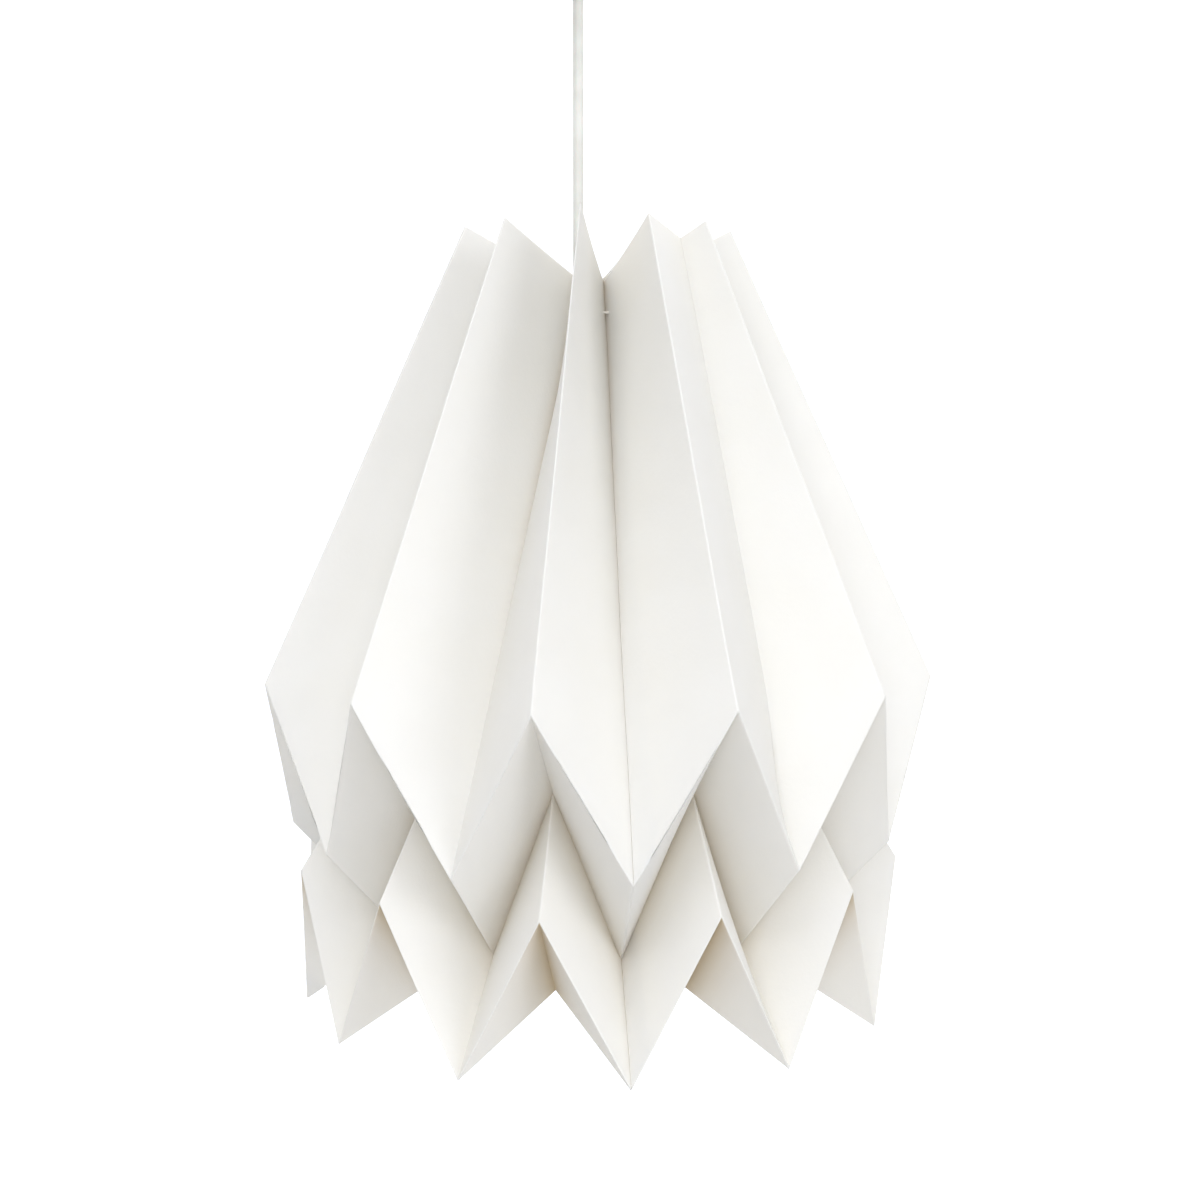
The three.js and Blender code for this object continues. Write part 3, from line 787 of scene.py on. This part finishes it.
def make_holder_cap():
    low, high = low_high("holder_cap")
    wall = 2 * MM
    hole = 5.2 * MM
    inside = 18 * MM
    band_top = low + 4 * MM
    dome = [(21 * MM, low + 6 * MM), (20 * MM, high - 1 * MM), (19 * MM, high)]
    outline = [
        (hole, high - wall), (inside, high - wall), (HOLDER_RIM - wall, low),
        (HOLDER_RIM, low), (HOLDER_RIM, band_top),
    ] + dome + [(hole, high)]
    stand_in(turned("lampholder_cap", outline, swell=fluted), "holder_cap")


def make_holder_skirt():
    low, high = low_high("holder_body")
    bore = 14.2 * MM
    ledge = high - 12.3 * MM
    inside = 18 * MM
    band_low = high - 4 * MM
    skirt = [(19 * MM, low), (20 * MM, low + 1 * MM), (20.5 * MM, band_low - 1 * MM)]
    outline = [(bore, low)] + skirt + [
        (HOLDER_RIM, band_low), (HOLDER_RIM, high), (inside, high), (inside, ledge), (bore, ledge),
    ]
    stand_in(turned("lampholder_skirt", outline, swell=fluted), "holder_body")


def make_terminal_screws():
    slot_width = 0.7 * MM
    slot_depth = 1.6 * MM
    for node in ("terminal_screw_live", "terminal_screw_neutral"):
        low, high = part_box(node)
        middle = (low + high) / 2
        radius = (high.x - low.x) / 2
        outline = [(0, low.z), (radius, low.z), (radius, high.z), (0, high.z)]
        screw = turned(node + "_slotted", outline, middle.x)
        slot_length = 2 * radius + 1 * MM
        cut(screw, block_tool((slot_length, slot_width, slot_depth), (middle.x, 0, high.z)))
        stand_in(screw, node)


def make_holder():
    make_holder_grip()
    make_holder_cap()
    make_holder_skirt()
    softened("lampholder_insert", "holder_insert", 0.3 * MM)
    softened("lampholder_tongue", "contact_tongue", 0.12 * MM)
    make_terminal_screws()


THREAD_PITCH = 3.6 * MM                         # Edison screw, nearly 7 turns to the inch


def threaded(low, high, depth):
    """Radii of a rolled thread of that depth between two heights."""
    def swell(radius, height, angle):
        if not low < height < high:
            return radius
        fade = min(1, (height - low) / THREAD_PITCH * 2, (high - height) / THREAD_PITCH * 2)
        wave = 0.5 - 0.5 * math.cos(2 * math.pi * height / THREAD_PITCH - angle)
        return radius - depth * fade * wave
    return swell


def make_contacts():
    low, high = low_high("contact_shell")
    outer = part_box("contact_shell")[1].x
    inner = outer - 0.4 * MM
    walls = side(inner, low, high) + side(outer, high, low)
    thread = threaded(low, high, 0.35 * MM)
    stand_in(turned("lampholder_thread", walls, swell=thread, edge=0.05 * MM), "contact_shell")


def make_bulb_base():
    low, high = low_high("bulb_tip")
    stand_in(turned("bulb_solder_tip", [
        (0, low), (4 * MM, low), (4.4 * MM, high - 0.6 * MM), (2.6 * MM, high), (0, high),
    ]), "bulb_tip")
    low, high = low_high("bulb_insulator")
    stand_in(turned("bulb_glass_insulator", [
        (0, low), (8 * MM, low), (7 * MM, high - 1.4 * MM), (5 * MM, high), (0, high),
    ]), "bulb_insulator")


def make_bulb_cap():
    low, high = low_high("bulb_screw_cap")
    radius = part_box("bulb_screw_cap")[1].x
    shoulder = 2 * MM
    plain = 1 * MM                              # the smooth skirt below the thread
    outline = [(0, low)] + side(radius, low, high - shoulder) + [(radius - shoulder, high), (0, high)]
    thread = threaded(low + plain, high - shoulder, 0.8 * MM)
    stand_in(turned("bulb_threaded_cap", outline, swell=thread, edge=0.1 * MM), "bulb_screw_cap")


def make_bulb_body():
    low, high = low_high("bulb_housing")
    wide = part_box("bulb_housing")[1].x
    profile = [
        (wide, low), (wide - 0.2 * MM, low + 3 * MM), (22.5 * MM, low + 11 * MM),
        (16.5 * MM, high - 5 * MM), (14.5 * MM, high),
    ]
    stand_in(turned("bulb_neck", [(0, low)] + profile + [(0, high)], edge=3 * MM), "bulb_housing")
    low, high = low_high("bulb_globe")
    radius = 30 * MM
    centre = low + radius
    rim = math.degrees(math.asin((high - centre) / radius))
    globe = arc(radius, (0, centre), -90, rim, 32)
    globe[0] = (0, low)
    stand_in(turned("bulb_opal_globe", globe + [(0, high)], edge=0.15 * MM), "bulb_globe")


def make_bulb():
    make_bulb_base()
    make_bulb_cap()
    make_bulb_body()


def make_bracket_screws():
    shank = 1.9 * MM
    rounding = 1 * MM
    for node in ("bracket_screw_left", "bracket_screw_right"):
        low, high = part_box(node)
        middle = (low.x + high.x) / 2
        head = (high.x - low.x) / 2
        head_top = low.z + 2.4 * MM
        screw = turned(node + "_slotted", [
            (0, low.z), (head - rounding, low.z + 0.1 * MM), (head, head_top - rounding), (head, head_top),
            (shank, head_top), (shank, high.z), (0, high.z),
        ], middle)
        cut(screw, block_tool((5 * MM, 0.9 * MM, 2 * MM), (middle, 0, low.z)))
        stand_in(screw, node)


def make_cord_ends():
    low, high = low_high("cord_tail")
    tail = [(0, low), (CORD_R, low), (CORD_R, high), (0, high)]
    stand_in(turned("cord_in_the_rose", tail), "cord_tail")
    low, high = low_high("cord_bend")
    ball = arc((high - low) / 2, (0, (low + high) / 2), -90, 90, 16)
    ball[0] = (0, low)
    ball[-1] = (0, high)
    stand_in(turned("cord_flex_point", ball), "cord_bend")


def make_ceiling_parts():
    softened("ceiling_bracket_plate", "ceiling_bracket", 0.25 * MM)
    softened("cord_clamp_block", "cord_clamp", 0.5 * MM)
    softened("mains_terminal_block", "terminal_block", 0.4 * MM)
    softened("rose_lock_nut_hex", "rose_lock_nut", 0.3 * MM)
    softened("holder_lock_nut_hex", "holder_lock_nut", 0.3 * MM)
    make_bracket_screws()
    make_cord_ends()


def make_disc():
    low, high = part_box("carrier_disc")
    centre_x = (low.x + high.x) / 2
    outer = (high.x - low.x) / 2
    hole = 16 * MM
    lip = 1.2 * MM
    dish = 0.3 * MM                             # how deep the face lies between its two lips
    stand_in(turned("carrier_disc_moulding", [
        (hole, low.z), (outer, low.z), (outer, high.z), (outer - lip, high.z),
        (outer - lip - dish, high.z - dish), (hole + lip + dish, high.z - dish),
        (hole + lip, high.z), (hole, high.z),
    ], centre_x, edge=FINE_EDGE), "carrier_disc")


# ---------------------------------------------------------------- the gathering string

STRING_R = 27 * MM                              # the loop's radius
STRAND_R = 0.3 * MM
STRAND_STEP = 3 * MM                            # one turn of the twist
KNOT_R = 1.9 * MM
STRANDS = 3
STEPS_PER_TWIST = 10
TAIL_REACH = 7 * MM
TAIL_SPREAD = 2 * MM
TAIL_DROP = 9 * MM
TAIL_LENGTH = 11 * MM
KNOT_STEPS = 72


def tube(mesh, path, radius, closed, sides=6):
    """Adds a tube along a path of points."""
    rings = []
    count = len(path)
    lift = Vector((0, 0, 1))
    for i, point in enumerate(path):
        ahead = path[(i + 1) % count] if closed or i < count - 1 else point
        behind = path[i - 1] if closed or i > 0 else point
        along = (ahead - behind).normalized()
        across = along.cross(lift).normalized()
        lift = across.cross(along).normalized()
        ring = []
        for k in range(sides):
            angle = 2 * math.pi * k / sides
            ring.append(mesh.verts.new(point + (across * math.cos(angle) + lift * math.sin(angle)) * radius))
        rings.append(ring)
    pairs = list(zip(rings, rings[1:]))
    if closed:
        pairs.append((rings[-1], rings[0]))
    else:
        mesh.faces.new(rings[0])
        mesh.faces.new(rings[-1])
    for low, high in pairs:
        for k in range(sides):
            j = (k + 1) % sides
            mesh.faces.new((low[k], low[j], high[j], high[k]))


def twisted(mesh, place, length, closed):
    """Adds the strands laid round a path; place(t) is the path's point at t from 0 to 1."""
    turns = round(length / STRAND_STEP)
    count = turns * STEPS_PER_TWIST
    for strand in range(STRANDS):
        path = []
        for i in range(count + (0 if closed else 1)):
            t = i / count
            here = place(t)
            along = (place(t + 0.001) - place(t - 0.001)).normalized()
            across = along.cross(Vector((0, 0, 1))).normalized()
            lift = across.cross(along)
            angle = 2 * math.pi * (turns * t + strand / STRANDS)
            path.append(here + (across * math.cos(angle) + lift * math.sin(angle)) * STRAND_R)
        tube(mesh, path, STRAND_R, closed)


def knot_path(knot, away, aside):
    """A trefoil, the simplest closed knot."""
    size = (KNOT_R - 2 * STRAND_R) / 3
    path = []
    for i in range(KNOT_STEPS):
        a = 2 * math.pi * i / KNOT_STEPS
        sideways = aside * size * (math.sin(a) + 2 * math.sin(2 * a))
        outwards = away * size * (math.cos(a) - 2 * math.cos(2 * a))
        path.append(knot + sideways + outwards - Vector((0, 0, size * math.sin(3 * a))))
    return path


def make_string():
    height = low_high("gather_string")[1] - KNOT_R
    centre = Vector((AXIS_X, 0, height))
    turn = math.radians(TURN + 180)
    away = Vector((math.sin(turn), -math.cos(turn), 0))
    aside = Vector((math.cos(turn), math.sin(turn), 0))
    knot = centre + away * STRING_R
    mesh = bmesh.new()

    def on_loop(t):
        return centre + Vector((math.cos(2 * math.pi * t), math.sin(2 * math.pi * t), 0)) * STRING_R

    twisted(mesh, on_loop, 2 * math.pi * STRING_R, True)
    for spread in (-1, 1):
        reach = away * TAIL_REACH + aside * TAIL_SPREAD * spread

        def on_tail(t, reach=reach):
            return knot + reach * t - Vector((0, 0, TAIL_DROP * t * (0.4 + 0.6 * t)))

        twisted(mesh, on_tail, TAIL_LENGTH, False)
    tube(mesh, knot_path(knot, away, aside), 2 * STRAND_R, True, 8)
    stand_in(new_object("cotton_gathering_string", mesh), "gather_string")


make_rose_cup()
make_rose_grip()
make_holder()
make_contacts()
make_bulb()
make_ceiling_parts()
make_disc()
make_string()

# ---------------------------------------------------------------- studio

FLOOR_Z = -1.25
FLOOR_MIDDLE_R = 0.001                          # the floor's faces start here,
FLOOR_RING_R = 1.2                              # and have one ring of corners here
WALL_R = 4.0
FLOOR_GREY = (0.68, 0.67, 0.65)
FLOOR_GREY_R = 1.1                              # the floor is grey out to here
FLOOR_WHITE_R = 1.5                             # and as white as the walls from here
WALL_DARK = (0.49, 0.49, 0.49)
WALL_LIGHT = (0.51, 0.51, 0.51)
WALL_GLOW = 0.18                                # how much the walls themselves shine
BACKDROP_GLOW = 0.82
BACKDROP_Y = (0.2, 1.4)                         # the cove brightens between these distances behind the lamp
COVE_R = 1.4                                    # the floor curves up into the walls
WALL_HEIGHT = 5
AIR = (0.96, 0.985, 1.07)                       # the light's colour, slightly cool
AIR_STRENGTH = 0.88
LAMP_MIDDLE = (0.008, 0, -0.34)                 # the lights point here


def studio_material():
    """White walls that glow a little, and a pale grey floor under the lamp."""
    n = Nodes("studio_white")
    where = n.add("ShaderNodeTexCoord").outputs["Object"]
    grain = n.noise(where, size=0.05, detail=3)
    reach = n.add("ShaderNodeVectorMath", {0: where, 1: (1, 1, 0)}, operation="MULTIPLY").outputs[0]
    radius = n.add("ShaderNodeVectorMath", {0: reach}, operation="LENGTH").outputs["Value"]
    outer = n.add("ShaderNodeMapRange", {
        "Value": radius, "From Min": FLOOR_GREY_R, "From Max": FLOOR_WHITE_R,
    }, interpolation_type="SMOOTHSTEP").outputs["Result"]
    white = n.tint(n.between(grain, 0, 1), WALL_DARK, WALL_LIGHT)
    mix = n.add("ShaderNodeMix", {"Factor": outer}, data_type="RGBA")
    mix.inputs["A"].default_value = (*FLOOR_GREY, 1)
    n.tree.links.new(white, mix.inputs["B"])
    behind = n.add("ShaderNodeSeparateXYZ", {0: where}).outputs["Y"]
    glow = n.add("ShaderNodeMapRange", {
        "Value": behind, "From Min": BACKDROP_Y[0], "From Max": BACKDROP_Y[1],
        "To Min": WALL_GLOW, "To Max": BACKDROP_GLOW,
    }, interpolation_type="SMOOTHSTEP").outputs["Result"]
    glow = n.add("ShaderNodeMath", {0: outer, 1: glow}, operation="MULTIPLY").outputs[0]
    surface = n.add("ShaderNodeBsdfPrincipled", {
        "Base Color": mix.outputs["Result"], "Roughness": 0.9,
        "Emission Color": (*AIR, 1), "Emission Strength": glow})
    return n.finish(surface.outputs[0])


def make_studio():
    """A round cove: a flat floor that curves up into a wall on every side."""
    outline = [(FLOOR_MIDDLE_R, FLOOR_Z), (FLOOR_RING_R, FLOOR_Z)]
    outline += arc(COVE_R, (WALL_R - COVE_R, FLOOR_Z + COVE_R), -90, 0, 12)
    outline.append((WALL_R, FLOOR_Z + WALL_HEIGHT))
    mesh = bmesh.new()
    rings = []
    for radius, height in outline:
        ring = []
        for i in range(TURN_STEPS):
            angle = 2 * math.pi * i / TURN_STEPS
            ring.append(mesh.verts.new((radius * math.cos(angle), radius * math.sin(angle), height)))
        rings.append(ring)
    for low, high in zip(rings, rings[1:]):
        for i in range(TURN_STEPS):
            j = (i + 1) % TURN_STEPS
            mesh.faces.new((low[i], low[j], high[j], high[i]))
    data = bpy.data.meshes.new("studio_floor")
    mesh.to_mesh(data)
    mesh.free()
    data.shade_smooth()
    floor = bpy.data.objects.new("studio_floor", data)
    bpy.context.scene.collection.objects.link(floor)
    dress(floor, studio_material())


def area_light(name, place, size, power):
    data = bpy.data.lights.new(name, "AREA")
    data.shape = "DISK"
    data.size = size
    data.energy = power
    data.color = AIR
    light = bpy.data.objects.new(name, data)
    light.location = place
    light.rotation_euler = (Vector(LAMP_MIDDLE) - Vector(place)).to_track_quat("-Z", "Y").to_euler()
    bpy.context.scene.collection.objects.link(light)


def make_light():
    world = bpy.data.worlds.new("studio_air")
    world.use_nodes = True
    background = world.node_tree.nodes["Background"]
    background.inputs["Color"].default_value = (*AIR, 1)
    background.inputs["Strength"].default_value = AIR_STRENGTH
    bpy.context.scene.world = world
    area_light("key_light", (2.0, -1.8, 0.35), size=1.5, power=18)
    area_light("front_light", (-0.1, -2.7, 0.15), size=1.6, power=21)
    area_light("top_light", (-0.35, -1.0, 1.6), size=1.6, power=19)
    bpy.context.scene.view_settings.view_transform = "Standard"
    bpy.context.scene.view_settings.look = "None"


make_studio()
make_light()

# ---------------------------------------------------------------- finish

bpy.context.view_layer.update()
